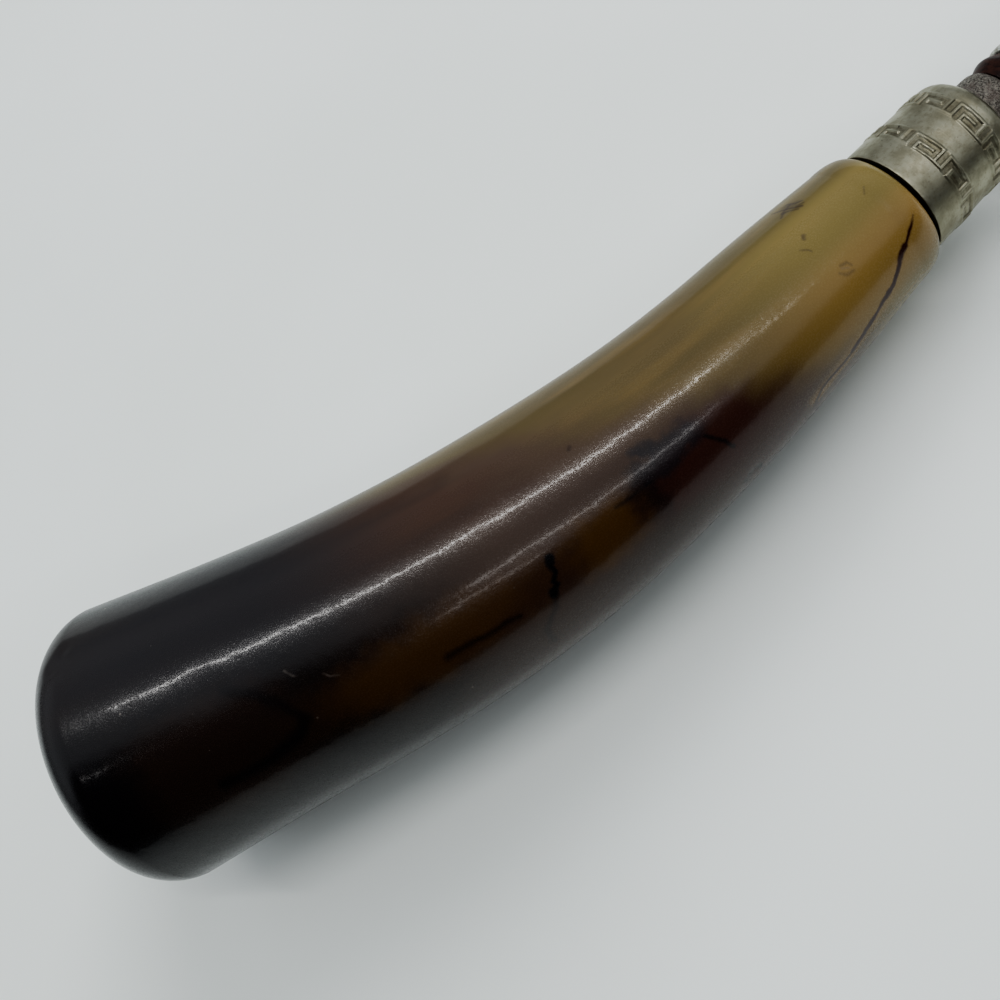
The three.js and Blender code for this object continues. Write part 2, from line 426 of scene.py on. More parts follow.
def collar_shape(place):
    """Stamps the key bands and adds the wear and the dents of long use."""
    x, y, z = place.T
    radius = np.hypot(y, z)
    angle = np.arctan2(z, y)
    middle = COLLAR_NEAR_RADIUS - (COLLAR_NEAR_RADIUS - COLLAR_FAR_RADIUS) * x / COLLAR_LENGTH
    outside = radius > middle - COLLAR_WALL / 2
    wear = 0.85 + 0.2 * wobble(x, y, z, 0.5, 11)
    lift = key_relief(x, angle) * np.clip(wear, 0.45, 1.1)
    lift += 0.035 * np.sin(2 * angle + 0.6) + 0.012 * wobble(x, y, z, 1.1, 12) - 0.06
    for along, degrees, length, breadth, depth in COLLAR_DENTS:
        turn = (angle - math.radians(degrees) + math.pi) % (2 * math.pi) - math.pi
        lift -= depth * np.exp(-((x - along) / length) ** 2 - (turn / math.radians(breadth)) ** 2)
    seam = (angle - SEAM_ANGLE + math.pi) % (2 * math.pi) - math.pi
    lift -= SEAM_DEPTH * np.exp(-(seam * COLLAR_NEAR_RADIUS / SEAM_WIDTH) ** 2)
    scale = 1 + np.where(outside, lift, 0) / radius
    return np.stack([x, y * scale, z * scale], axis=1)


def collar_side(start, end):
    """Outline of the collar's side, with close steps where the bands are."""
    fine = 0.1
    coarse = 0.45
    margin = 0.3
    slope = (COLLAR_FAR_RADIUS - COLLAR_NEAR_RADIUS) / end
    places = [start]
    for band, _ in KEY_BANDS:
        places += [band - margin, band + KEY_TOP + 2 * LINE_HALF + margin]
    places.append(end)
    steps = [coarse, fine, coarse, fine, coarse]
    corners = [(x, COLLAR_NEAR_RADIUS + slope * x) for x in places]
    return [run(a, b, step) for a, b, step in zip(corners, corners[1:], steps)]


def mark_sunk(collar):
    """Keeps on each vertex how far it lies in the sunk ground of the bands, from 0 to 1."""
    count = len(collar.data.vertices)
    place = np.empty(count * 3, np.float32)
    collar.data.attributes["place"].data.foreach_get("vector", place)
    x, y, z = place.reshape(-1, 3).T
    relief = key_relief(x, np.arctan2(z, y))
    attribute = collar.data.attributes.new("sunk", "FLOAT", "POINT")
    attribute.data.foreach_set("value", np.clip(-relief / KEY_SUNK, 0, 1).astype(np.float32))


def build_collar():
    lip = (0, COLLAR_NEAR_RADIUS - COLLAR_LIP)
    dome_start = COLLAR_LENGTH - COLLAR_DOME_RADIUS
    outer_edge = (dome_start, COLLAR_FAR_RADIUS)
    outer_top = (COLLAR_LENGTH, COLLAR_FAR_RADIUS - COLLAR_DOME_RADIUS)
    inner_edge = (dome_start, COLLAR_FAR_RADIUS - COLLAR_WALL)
    inner_top = (COLLAR_LENGTH - COLLAR_WALL, outer_top[1])
    hole = NECK_RADIUS + GAP
    profile = outline(
        lip,
        quarter(lip, (COLLAR_LIP, COLLAR_NEAR_RADIUS), 3, leaves_along=False),
        *collar_side(COLLAR_LIP, dome_start),
        quarter(outer_edge, outer_top, 14, leaves_along=True),
        run(outer_top, (COLLAR_LENGTH, hole), 0.5),
        (COLLAR_LENGTH - COLLAR_WALL, hole),
        inner_top,
        quarter(inner_edge, inner_top, 8, leaves_along=True)[::-1][1:],
        inner_edge,
        (0, COLLAR_NEAR_RADIUS - COLLAR_WALL),
    )
    collar = revolve("collar_stamped", profile, COLLAR_SIDES, collar_shape, ring=True)
    mark_sunk(collar)
    finish_piece(collar, "collar", "nickel_silver", paint_nickel_silver)


# ---- neck, bead, guard, steel ----

def rough_skin(depth, scale, seed, bore):
    """A shape that eats into the outside of a turned piece, as rust does."""
    def shape(place):
        x, y, z = place.T
        radius = np.hypot(y, z)
        grain = wobble(x, y, z, scale, seed)
        pits = np.clip(grain - 0.3, 0, 1.5) * depth + 0.25 * depth * np.clip(grain, -1, 1)
        outside = np.clip((radius - bore - 0.2) / 0.5, 0, 1)
        scale_in = 1 - outside * pits / radius
        return np.stack([x, y * scale_in, z * scale_in], axis=1)
    return shape


def build_neck():
    bore = TANG_RADIUS + GAP
    edge = (NECK_END - NECK_EDGE, NECK_RADIUS)
    rim = (NECK_END, NECK_RADIUS - NECK_EDGE / 2)
    profile = outline(
        (NECK_START, bore),
        run((NECK_START, bore), (NECK_START, NECK_RADIUS), 0.5),
        run((NECK_START, NECK_RADIUS), edge, 0.15),
        quarter(edge, rim, 14, leaves_along=True),
        run(rim, (NECK_END, bore), 0.3),
        run((NECK_END, bore), (NECK_START, bore), 2)[:-1],
    )
    skin = rough_skin(depth=0.04, scale=5.5, seed=3, bore=bore)
    neck = revolve("neck_turned", profile, NECK_SIDES, skin, ring=True)
    finish_piece(neck, "neck", "pitted_steel", paint_pitted_steel)


def build_bead():
    bore = TANG_RADIUS + GAP
    barrel = catmull_rom([
        (BEAD_START, BEAD_RIM_RADIUS),
        ((BEAD_START + BEAD_END) / 2, BEAD_MIDDLE_RADIUS),
        (BEAD_END, BEAD_RIM_RADIUS),
    ], steps=16)
    profile = outline(
        (BEAD_START, bore),
        run((BEAD_START, bore), barrel[0], 0.3),
        barrel[1:],
        run(barrel[-1], (BEAD_END, bore), 0.3),
        run((BEAD_END, bore), (BEAD_START, bore), 2)[:-1],
    )
    skin = rough_skin(depth=0.02, scale=2.0, seed=5, bore=bore)
    bead = revolve("bead_polished", profile, BEAD_SIDES, skin, ring=True)
    finish_piece(bead, "bead", "dark_horn", paint_dark_horn)


def build_guard():
    bore = TANG_RADIUS + GAP
    hub_face = (GUARD_START, HUB_RADIUS - HUB_EDGE)
    hub_start = (GUARD_START + HUB_EDGE, HUB_RADIUS)
    hub_end = (GUARD_START + HUB_LENGTH, HUB_RADIUS)
    disc_foot = (GUARD_END - 2 * GUARD_EDGE, HUB_RADIUS + GUARD_FILLET)
    near_rim = (GUARD_END - 2 * GUARD_EDGE, GUARD_RADIUS - GUARD_EDGE)
    rim_middle = (GUARD_END - GUARD_EDGE, GUARD_RADIUS)
    far_rim = (GUARD_END, GUARD_RADIUS - GUARD_EDGE)
    profile = outline(
        (GUARD_START, bore),
        run((GUARD_START, bore), hub_face, 0.4),
        quarter(hub_face, hub_start, 6, leaves_along=False),
        run(hub_start, hub_end, 0.4),
        quarter(hub_end, disc_foot, 14, leaves_along=True),
        run(disc_foot, near_rim, 0.4),
        quarter(near_rim, rim_middle, 12, leaves_along=False),
        quarter(rim_middle, far_rim, 12, leaves_along=True),
        run(far_rim, (GUARD_END, bore), 0.5),
        run((GUARD_END, bore), (GUARD_START, bore), 2)[:-1],
    )
    skin = rough_skin(depth=0.02, scale=2.5, seed=7, bore=bore)
    guard = revolve("guard_turned", profile, GUARD_SIDES, skin, ring=True)
    finish_piece(guard, "guard", "bright_steel", paint_bright_steel)


def ribbed(place):
    """Fine ribs along the working part of the steel, dying out at its root and its tip."""
    x, y, z = place.T
    radius = np.hypot(y, z)
    angle = np.arctan2(z, y)
    start = STEEL_START + STEEL_SHOULDER_LENGTH + 4
    end = STEEL_TIP - STEEL_POINT_LENGTH
    strength = np.clip((x - start) / 6, 0, 1) * np.clip((end - x) / 8, 0, 1)
    valley = RIB_DEPTH * (0.5 - 0.5 * np.cos(RIBS * angle)) * strength
    scale = 1 - valley / np.maximum(radius, 1)
    return np.stack([x, y * scale, z * scale], axis=1)


def build_steel():
    shoulder_face = (STEEL_START, STEEL_SHOULDER_RADIUS - STEEL_SHOULDER_EDGE)
    shoulder_start = (STEEL_START + STEEL_SHOULDER_EDGE, STEEL_SHOULDER_RADIUS)
    shoulder_end = (STEEL_START + STEEL_SHOULDER_LENGTH, STEEL_SHOULDER_RADIUS)
    root = (shoulder_end[0] + 2, STEEL_ROOT_RADIUS)
    point_start = (STEEL_TIP - STEEL_POINT_LENGTH, STEEL_TIP_RADIUS)
    profile = outline(
        (TANG_END, 0),
        (TANG_END, TANG_END_RADIUS),
        run((TANG_END, TANG_END_RADIUS), (TANG_TAPER_START, TANG_RADIUS), 10),
        run((TANG_TAPER_START, TANG_RADIUS), (STEEL_START, TANG_RADIUS), 10),
        shoulder_face,
        quarter(shoulder_face, shoulder_start, 6, leaves_along=False),
        run(shoulder_start, shoulder_end, 1),
        quarter(shoulder_end, root, 10, leaves_along=False),
        run(root, point_start, 2),
        quarter(point_start, (STEEL_TIP, 0), 24, leaves_along=True),
    )
    steel = revolve("steel_ribbed", profile, RIBS * RIB_SIDES, ribbed)
    finish_piece(steel, "steel", "ribbed_steel", paint_ribbed_steel)


# ---- materials ----

class Nodes:
    """A short way to build a node tree. Most methods give an output socket."""

    def __init__(self, tree):
        self.tree = tree
        tree.nodes.clear()

    def node(self, kind, inputs=None, **settings):
        node = self.tree.nodes.new(kind)
        for name, value in settings.items():
            setattr(node, name, value)
        for name, value in (inputs or {}).items():
            if isinstance(value, bpy.types.NodeSocket):
                self.tree.links.new(value, node.inputs[name])
            else:
                node.inputs[name].default_value = value
        return node

    def math(self, operation, a, b=0.0, c=0.0):
        return self.node("ShaderNodeMath", {0: a, 1: b, 2: c}, operation=operation).outputs[0]

    def vector(self, operation, a, b=(0, 0, 0), scale=1.0):
        inputs = {0: a, 1: b}
        if operation == "SCALE":
            inputs = {0: a, "Scale": scale}
        node = self.node("ShaderNodeVectorMath", inputs, operation=operation)
        return node.outputs["Value" if operation in ("LENGTH", "DOT_PRODUCT", "DISTANCE") else "Vector"]

    def place(self):
        return self.node("ShaderNodeAttribute", attribute_name="place").outputs["Vector"]

    def combine(self, x, y, z):
        return self.node("ShaderNodeCombineXYZ", {"X": x, "Y": y, "Z": z}).outputs[0]

    def split(self, vector):
        return self.node("ShaderNodeSeparateXYZ", {0: vector}).outputs

    def noise(self, vector, scale, detail=3.0, roughness=0.5, distortion=0.0, output="Fac"):
        node = self.node("ShaderNodeTexNoise", {
            "Vector": vector, "Scale": scale, "Detail": detail, "Roughness": roughness,
            "Distortion": distortion,
        })
        return node.outputs[output]

    def ramp(self, value, low, high, to_low=0.0, to_high=1.0, smooth=True):
        node = self.node("ShaderNodeMapRange", {
            "Value": value, "From Min": low, "From Max": high, "To Min": to_low, "To Max": to_high,
        }, interpolation_type="SMOOTHSTEP" if smooth else "LINEAR", clamp=not smooth)
        return node.outputs["Result"]

    def mix(self, factor, a, b):
        node = self.node("ShaderNodeMix", data_type="RGBA", blend_type="MIX")
        for name, value in (("Factor_Float", factor), ("A_Color", a), ("B_Color", b)):
            socket = next(s for s in node.inputs if s.identifier == name)
            if isinstance(value, bpy.types.NodeSocket):
                self.tree.links.new(value, socket)
            else:
                socket.default_value = value if name == "Factor_Float" else (*value, 1.0)
        return next(s for s in node.outputs if s.identifier == "Result_Color")

    def bump(self, height, strength, distance, normal=None):
        inputs = {"Height": height, "Strength": strength, "Distance": distance}
        if normal is not None:
            inputs["Normal"] = normal
        return self.node("ShaderNodeBump", inputs).outputs[0]

    def facing(self, y, z, reach, degrees):
        """Cosine of the angle round the X axis from the given direction, measured from +Y."""
        turn = math.radians(degrees)
        along_y = self.math("MULTIPLY", y, math.cos(turn))
        both = self.math("MULTIPLY_ADD", z, math.sin(turn), along_y)
        return self.math("DIVIDE", both, reach)

    def principled(self, **inputs):
        named = {name.replace("_", " "): value for name, value in inputs.items()}
        shader = self.node("ShaderNodeBsdfPrincipled", named)
        output = self.node("ShaderNodeOutputMaterial")
        self.tree.links.new(shader.outputs[0], output.inputs["Surface"])


def material(name, paint):
    """A material whose nodes are made by paint(nodes)."""
    made = bpy.data.materials.new(name)
    made.use_nodes = True
    paint(Nodes(made.node_tree))
    return made


def srgb(red, green, blue):
    """A screen colour from 0 to 255 as the linear colour that shaders use."""
    def linear(value):
        share = value / 255
        return share / 12.92 if share <= 0.04045 else ((share + 0.055) / 1.055) ** 2.4
    return linear(red), linear(green), linear(blue)


AMBER = srgb(118, 104, 60)
AMBER_DEEP = srgb(142, 116, 70)
AMBER_OLIVE = srgb(68, 60, 38)
AMBER_DULL = srgb(86, 73, 46)
MAUVE = srgb(72, 54, 43)
MAROON = srgb(64, 36, 30)
LENS_BROWN = srgb(82, 57, 27)
STREAK_BROWN = srgb(68, 46, 33)
UMBER = srgb(48, 33, 26)
BLACK_BROWN = srgb(22, 12, 9)
NIGHT = srgb(15, 11, 12)
INK = srgb(14, 12, 17)
REFLECTION_BLUE_GREY = srgb(27, 27, 34)
BROWN_MARK = srgb(50, 34, 24)
GAP_SHADE = srgb(38, 26, 14)
LINE_RED = srgb(50, 14, 9)
SCUFF = srgb(112, 104, 98)


def line_distance(n, place, points):
    """Distance in millimetres from the shaded place to a chain of points on the horn."""
    nearest = None
    for start, end in zip(points, points[1:]):
        a = Vector(horn_place(*start))
        b = Vector(horn_place(*end))
        along = b - a
        from_a = n.vector("SUBTRACT", place, tuple(a))
        share = n.vector("DOT_PRODUCT", from_a, tuple(along / along.length_squared))
        share = n.math("MINIMUM", n.math("MAXIMUM", share, 0.0), 1.0)
        foot = n.vector("SCALE", tuple(along), scale=share)
        distance = n.vector("DISTANCE", from_a, foot)
        nearest = distance if nearest is None else n.math("MINIMUM", nearest, distance)
    return nearest


def patch_mask(n, place, behind, degrees, length, breadth, softness):
    """An oval patch on the horn with a soft edge."""
    offset = n.vector("SUBTRACT", place, horn_place(behind, degrees))
    scaled = n.vector("MULTIPLY", offset, (2 / length, 2 / breadth, 2 / breadth))
    return n.ramp(n.vector("LENGTH", scaled), 1 + softness, 1 - softness)


# Patches of colour in the horn: distance behind the collar, degrees from +Y, length, breadth,
# softness, colour and strength. The blue-grey patches are painted reflection of the lamps and the room.
PATCHES = (
    (50, 129, 24, 12, 0.35, MAROON, 0.9),
    (68, 128, 13, 9, 0.5, LENS_BROWN, 0.9),
    (99, 124, 38, 9, 0.6, LENS_BROWN, 0.6),
    (54, 115, 14, 5.5, 0.4, REFLECTION_BLUE_GREY, 0.75),
    (57, 106, 5, 3.0, 0.5, REFLECTION_BLUE_GREY, 0.65),
    (60, 126, 5, 8, 0.6, INK, 0.6),
    (40, 152, 18, 12, 0.5, MAROON, 0.5),
    (133, 121, 34, 19, 0.35, UMBER, 0.6),
    (128, 68, 60, 26, 0.5, REFLECTION_BLUE_GREY, 0.45),
    (152, 122, 12, 26, 0.6, INK, 0.8),
)

# Lines in and on the horn: colour, width, softness, strength, and points as distance behind the
# collar and degrees from +Y.
LINES = (
    (AMBER_DEEP, 2.6, 1.2, 0.5, ((3, 120), (9, 135), (14, 149), (23, 160), (32, 164))),
    (LINE_RED, 0.55, 0.22, 1.0, ((2.8, 119), (4.5, 125), (7.5, 131))),
    (LINE_RED, 1.0, 0.25, 1.0, (
        (7.5, 131), (9.2, 136), (10.5, 141), (12, 146), (14, 149), (17, 152), (20, 157), (23, 160),
    )),
    (LINE_RED, 0.7, 0.25, 1.0, ((23, 160), (27, 161), (30, 160), (32, 166), (33, 173))),
    (LINE_RED, 0.35, 0.25, 0.6, ((9.6, 137), (12.4, 146.5))),
    (BROWN_MARK, 0.35, 0.2, 0.6, ((1.5, 116), (2.2, 110))),
    (INK, 0.85, 0.3, 1.0, (
        (79.5, 134.5), (78.9, 132.2), (78.1, 131), (78.3, 128.5), (77.5, 126), (77.6, 122.5),
        (76.6, 118.5),
    )),
    (INK, 1.5, 0.4, 1.0, ((79.5, 134), (79.2, 132.8))),
    (INK, 1.5, 0.4, 1.0, ((77.2, 120.8), (76.8, 119))),
    (INK, 0.9, 0.7, 0.5, ((79.3, 134.5), (81, 142), (83.5, 148), (83.5, 158))),
    (INK, 0.6, 0.35, 0.8, ((46.3, 138), (46.8, 132), (48, 126), (48.8, 121.5))),
    (INK, 0.5, 0.4, 0.6, ((59, 120), (62, 120.5), (65, 119.5))),
    (BLACK_BROWN, 0.9, 0.6, 0.7, ((85, 133), (92, 131), (97, 130))),
    (INK, 1.7, 1.0, 0.8, ((119, 122), (120.5, 126), (123, 129), (127, 131.5), (135, 131))),
    (INK, 1.2, 0.9, 0.6, ((119.5, 119), (121, 112), (124, 104), (128, 97))),
    (BROWN_MARK, 0.3, 0.25, 0.4, ((15.6, 112.5), (15.8, 109.5), (16.9, 108))),
    (BROWN_MARK, 0.35, 0.3, 0.35, ((16.1, 116), (17.2, 115), (17.8, 111.5))),
    (SCUFF, 0.3, 0.25, 0.3, ((16.3, 112.5), (17.0, 110))),
    (BROWN_MARK, 0.35, 0.3, 0.8, ((12.9, 56), (14, 49), (15, 43), (15.6, 37))),
    (BROWN_MARK, 0.3, 0.25, 0.7, ((13.7, 55), (14.6, 50.5), (15.3, 47))),
    (BROWN_MARK, 0.3, 0.25, 0.7, ((11.9, 52), (12.9, 46), (13.3, 41))),
    (BROWN_MARK, 1.0, 0.9, 0.5, ((12.8, 48), (13.8, 43))),
    (BROWN_MARK, 0.35, 0.3, 0.7, ((15.9, 51), (14.8, 46.5), (13.2, 44))),
    (BROWN_MARK, 0.3, 0.25, 0.6, ((12.2, 55), (13.2, 51.5))),
    (BROWN_MARK, 0.45, 0.3, 0.6, ((17, 77), (17.6, 79))),
    (BROWN_MARK, 0.25, 0.2, 0.5, ((19.2, 83), (18.5, 88))),
    (BROWN_MARK, 0.25, 0.2, 0.4, ((5.5, 81), (6.2, 84.5))),
    (BROWN_MARK, 0.6, 0.3, 0.8, ((64.6, 83), (65, 84))),
    (INK, 0.9, 0.4, 1.0, ((44.3, 172), (44.6, 168.5), (46.2, 166.5), (47.4, 168.5), (47.3, 172))),
    (SCUFF, 0.2, 0.2, 0.35, ((111, 113), (112.3, 111.5), (113, 109))),
    (SCUFF, 0.2, 0.2, 0.35, ((116.5, 106), (118, 102))),
)


def horn_layers(n, place, behind, y, z, reach):
    """The horn's colour: amber at the collar, then brown and black, with soft streaks, and painted light,
    shade and sheen on some sides.
    """
    grown = n.vector("MULTIPLY", place, (0.02, 0.2, 0.2))
    fibres = n.noise(grown, 1.0, detail=5, roughness=0.55, distortion=0.3)
    clouds = n.noise(n.vector("MULTIPLY", place, (0.03, 0.06, 0.06)), 1.0, detail=3, distortion=0.8)
    smoke = n.noise(n.vector("MULTIPLY", place, (0.1, 0.14, 0.14)), 1.0, detail=4, distortion=1.0)

    # The amber reaches furthest back on the side that the butt bends to.
    side = n.facing(y, z, reach, 10)
    edge = n.math("MULTIPLY_ADD", side, 33.0, 55.0)
    edge = n.math("ADD", edge, n.ramp(side, 0.72, 0.94, 0.0, 28.0))
    past = n.math("SUBTRACT", behind, edge)
    past = n.math("ADD", past, n.math("MULTIPLY_ADD", clouds, 22.0, -11.0))
    past = n.math("ADD", past, n.math("MULTIPLY_ADD", fibres, 10.0, -5.0))
    past = n.math("ADD", past, n.math("MULTIPLY_ADD", smoke, 6.0, -3.0))

    # Painted light: the lower side towards the camera, which lies in the room's shade, is painted in the
    # lighter AMBER_DEEP.
    amber = n.mix(n.ramp(n.facing(y, z, reach, 128), 0.8, 0.99, 0.0, 0.85), AMBER, AMBER_DEEP)
    # Olive on the upper edge: partly the horn's colour, partly painted shade that tones down the bright
    # reflection along that edge.
    amber = n.mix(n.ramp(n.facing(y, z, reach, 30), 0.82, 0.98, 0.0, 0.7), amber, AMBER_OLIVE)
    amber = n.mix(n.ramp(behind, 15, 45, 0.0, 0.85), amber, AMBER_DULL)
    amber = n.mix(n.ramp(fibres, 0.45, 0.7, 0.0, 0.22), amber, AMBER_DEEP)
    colour = n.mix(n.ramp(past, -15, 3, 0.0, 0.9), amber, MAUVE)

    streak = n.ramp(n.facing(y, z, reach, 62), 0.86, 0.97)
    lens = n.ramp(n.facing(y, z, reach, 125), 0.93, 0.985)
    glow = n.math("MAXIMUM", streak, n.math("MULTIPLY", lens, 0.45))
    glow = n.math("MULTIPLY", glow, n.ramp(fibres, 0.3, 0.6, 0.55, 1.0))
    deep = n.mix(n.ramp(clouds, 0.4, 0.62), UMBER, BLACK_BROWN)
    # Painted sheen: a mauve haze on the top, near the lamps' highlights, and on the lower side, where the
    # table is reflected, fading out from 78 to 108 mm behind the collar.
    upper = n.ramp(n.facing(y, z, reach, 102), 0.93, 0.985)
    lower = n.ramp(n.facing(y, z, reach, 158), 0.88, 0.97, 0.0, 0.6)
    painted_sheen = n.math("MULTIPLY", n.math("MAXIMUM", upper, lower), n.ramp(behind, 108, 78))
    deep = n.mix(n.math("MULTIPLY", painted_sheen, 0.85), deep, MAUVE)
    deep = n.mix(glow, deep, STREAK_BROWN)
    colour = n.mix(n.ramp(past, 1, 13), colour, deep)
    return n.mix(n.ramp(behind, 85, 122, 0.0, 0.88), colour, NIGHT)


PATCH_WANDER = 6.0  # how far noise shifts the edges of the patches
LINE_WANDER = 1.4  # how far it shifts the lines
FLECK_STRENGTH = 0.55
SKIN_RADIUS = 18.0  # makes millimetres of the angle round the horn
# The scratches run three ways: the turn in radians and the closeness of each.
SCRATCH_WAYS = ((0.25, 0.8), (1.2, 1.0), (-0.7, 0.7))
# Heights of the skin's relief, in metres.
GRAIN_HEIGHT = 0.000004
WAVE_HEIGHT = 0.00004


def horn_marks(n, place, behind, colour):
    """Adds the patches, some of them painted reflection, the lines, painted shade at the shoulder, and
    dust in tiny pale flecks.
    """
    wander = n.vector("SUBTRACT", n.noise(place, 0.3, detail=3, output="Color"), (0.5, 0.5, 0.5))
    blurred = n.vector("ADD", place, n.vector("SCALE", wander, scale=PATCH_WANDER))
    for distance, degrees, length, breadth, softness, tint, strength in PATCHES:
        patch = patch_mask(n, blurred, distance, degrees, length, breadth, softness)
        colour = n.mix(n.math("MULTIPLY", patch, strength), colour, tint)
    drawn = n.vector("ADD", place, n.vector("SCALE", wander, scale=LINE_WANDER))
    for tint, width, softness, strength, points in LINES:
        distance = line_distance(n, drawn, points)
        line = n.ramp(distance, width / 2 + softness, max(width / 2 - softness, 0.0), 0.0, strength)
        colour = n.mix(line, colour, tint)
    # Painted shade: the shoulder end and the spigot are darkened where the gap to the collar lies in
    # shadow.
    colour = n.mix(n.ramp(behind, 0.8, 0.1), colour, GAP_SHADE)
    cells = n.node("ShaderNodeTexVoronoi", {"Vector": place, "Scale": 0.3})
    rare = n.ramp(n.split(cells.outputs["Color"])[0], 0.72, 0.78)
    fleck = n.math("MULTIPLY", n.ramp(cells.outputs["Distance"], 0.07, 0.04), rare)
    return n.mix(n.math("MULTIPLY", fleck, FLECK_STRENGTH), colour, SCUFF)


def old_polish(n, place, behind, y, z, reach):
    """The normal and the roughness of an old polish, with its fine grain and scratches."""
    around = n.math("MULTIPLY", n.math("ARCTAN2", y, z), SKIN_RADIUS)
    skin = n.combine(behind, around, 0.0)
    scratches = None
    for turn, density in SCRATCH_WAYS:
        turned = n.node("ShaderNodeMapping", {"Vector": skin, "Rotation": (0, 0, turn)}).outputs[0]
        stretched = n.vector("MULTIPLY", turned, (0.35 * density, 7.0 * density, 1.0))
        layer = n.ramp(n.noise(stretched, 1.0, detail=2, roughness=0.6), 0.66, 0.76)
        scratches = layer if scratches is None else n.math("MAXIMUM", scratches, layer)
    grain = n.noise(place, 3.6, detail=2, roughness=0.6)

    # The relief shows most on top, and the side that the butt bends to is the dullest.
    worn = n.ramp(n.facing(y, z, reach, 98), 0.7, 0.92, 0.03, 1.0)
    relief = n.math("MULTIPLY_ADD", scratches, -0.4, n.ramp(grain, 0.5, 0.72))
    relief = n.math("MULTIPLY", relief, worn)
    normal = n.bump(relief, 1.0, GRAIN_HEIGHT)
    normal = n.bump(n.noise(place, 0.35, detail=2), 1.0, WAVE_HEIGHT, normal)
    roughness = n.math("MULTIPLY_ADD", scratches, 0.12, 0.26)
    roughness = n.math("ADD", roughness, n.ramp(grain, 0.3, 0.7, -0.04, 0.04))
    dull_side = n.ramp(n.facing(y, z, reach, 38), 0.85, 0.97)
    dull = n.math("MULTIPLY", dull_side, n.ramp(behind, 90, 115, 0.3, 0.14))
    return normal, n.math("ADD", roughness, dull)


def paint_horn(n):
    place = n.place()
    x, y, z = n.split(place)
    behind = n.math("MULTIPLY", x, -1.0)
    reach = n.math("MAXIMUM", n.vector("LENGTH", n.combine(0.0, y, z)), 0.01)
    colour = horn_layers(n, place, behind, y, z, reach)
    colour = horn_marks(n, place, behind, colour)
    normal, roughness = old_polish(n, place, behind, y, z, reach)
    n.principled(
        Base_Color=colour, Roughness=roughness, Normal=normal, IOR=1.5,
        Specular_IOR_Level=0.31, Coat_Weight=0.4, Coat_Roughness=0.085, Coat_IOR=1.5, Coat_Normal=normal,
    )


def paint_nickel_silver(n):
    place = n.place()
    x, y, z = n.split(place)
    tone = n.noise(place, 0.3, detail=5, roughness=0.6)
    spots = n.noise(place, 1.6, detail=4, roughness=0.65)
    colour = n.mix(n.ramp(tone, 0.35, 0.65), srgb(168, 165, 147), srgb(145, 141, 122))
    colour = n.mix(n.ramp(spots, 0.5, 0.75, 0.0, 0.5), colour, srgb(116, 108, 88))

    # Grime lies in the sunk ground of the bands.
    grime = None
    for start, _ in KEY_BANDS:
        middle = start + LINE_HALF + KEY_TOP / 2
        away = n.math("ABSOLUTE", n.math("SUBTRACT", x, middle))
        band = n.ramp(away, 1.9, 1.5)
        grime = band if grime is None else n.math("MAXIMUM", grime, band)
    sunk = n.node("ShaderNodeAttribute", attribute_name="sunk").outputs["Fac"]
    grime = n.math("MULTIPLY", grime, n.ramp(sunk, 0.0, 1.0))
    grime = n.math("MULTIPLY", grime, n.ramp(spots, 0.3, 0.6, 0.15, 0.5))
    colour = n.mix(grime, colour, srgb(96, 88, 68))
    cells = n.node("ShaderNodeTexVoronoi", {"Vector": place, "Scale": 0.7}).outputs["Distance"]
    pit = n.math("MULTIPLY", n.ramp(cells, 0.15, 0.06), n.ramp(spots, 0.48, 0.6))
    colour = n.mix(n.math("MULTIPLY", pit, 0.8), colour, srgb(50, 44, 36))

    around = n.math("MULTIPLY", n.math("ARCTAN2", y, z), 10.0)
    skin = n.combine(n.math("MULTIPLY", x, 6.0), n.math("MULTIPLY", around, 0.35), 0.0)
    rubbing = n.noise(skin, 1.0, detail=4, roughness=0.65)
    roughness = n.math("ADD", n.ramp(tone, 0.3, 0.7, 0.32, 0.44), n.ramp(rubbing, 0.4, 0.7, 0.0, 0.08))
    roughness = n.math("ADD", roughness, n.math("MULTIPLY", grime, 0.1))
    height = n.math("MULTIPLY_ADD", rubbing, 0.3, n.math("MULTIPLY", pit, -1.0))
    height = n.math("MULTIPLY_ADD", spots, 0.8, height)
    normal = n.bump(height, 0.5, 0.0001)
    n.principled(Base_Color=colour, Metallic=1.0, Roughness=roughness, Normal=normal)


def paint_pitted_steel(n):
    place = n.place()
    grain = n.noise(place, 3.5, detail=5, roughness=0.7)
    coarse = n.noise(place, 0.7, detail=3)
    colour = n.mix(n.ramp(grain, 0.36, 0.6), srgb(78, 73, 69), srgb(152, 147, 138))
    colour = n.mix(n.ramp(coarse, 0.45, 0.65, 0.0, 0.5), colour, srgb(112, 100, 94))
    roughness = n.ramp(grain, 0.35, 0.65, 0.6, 0.4)
    normal = n.bump(grain, 0.8, 0.0002)
    n.principled(Base_Color=colour, Metallic=0.9, Roughness=roughness, Normal=normal)


def paint_dark_horn(n):
    place = n.place()
    streaks = n.noise(n.vector("MULTIPLY", place, (1.2, 0.5, 0.5)), 1.0, detail=5, distortion=0.8)
    colour = n.mix(n.ramp(streaks, 0.35, 0.65), srgb(30, 15, 12), srgb(60, 34, 26))
    normal = n.bump(n.noise(place, 2.5, detail=3), 0.3, 0.0001)
    roughness = n.ramp(streaks, 0.3, 0.7, 0.32, 0.45)
    n.principled(Base_Color=colour, Roughness=roughness, Normal=normal, Specular_IOR_Level=0.25)


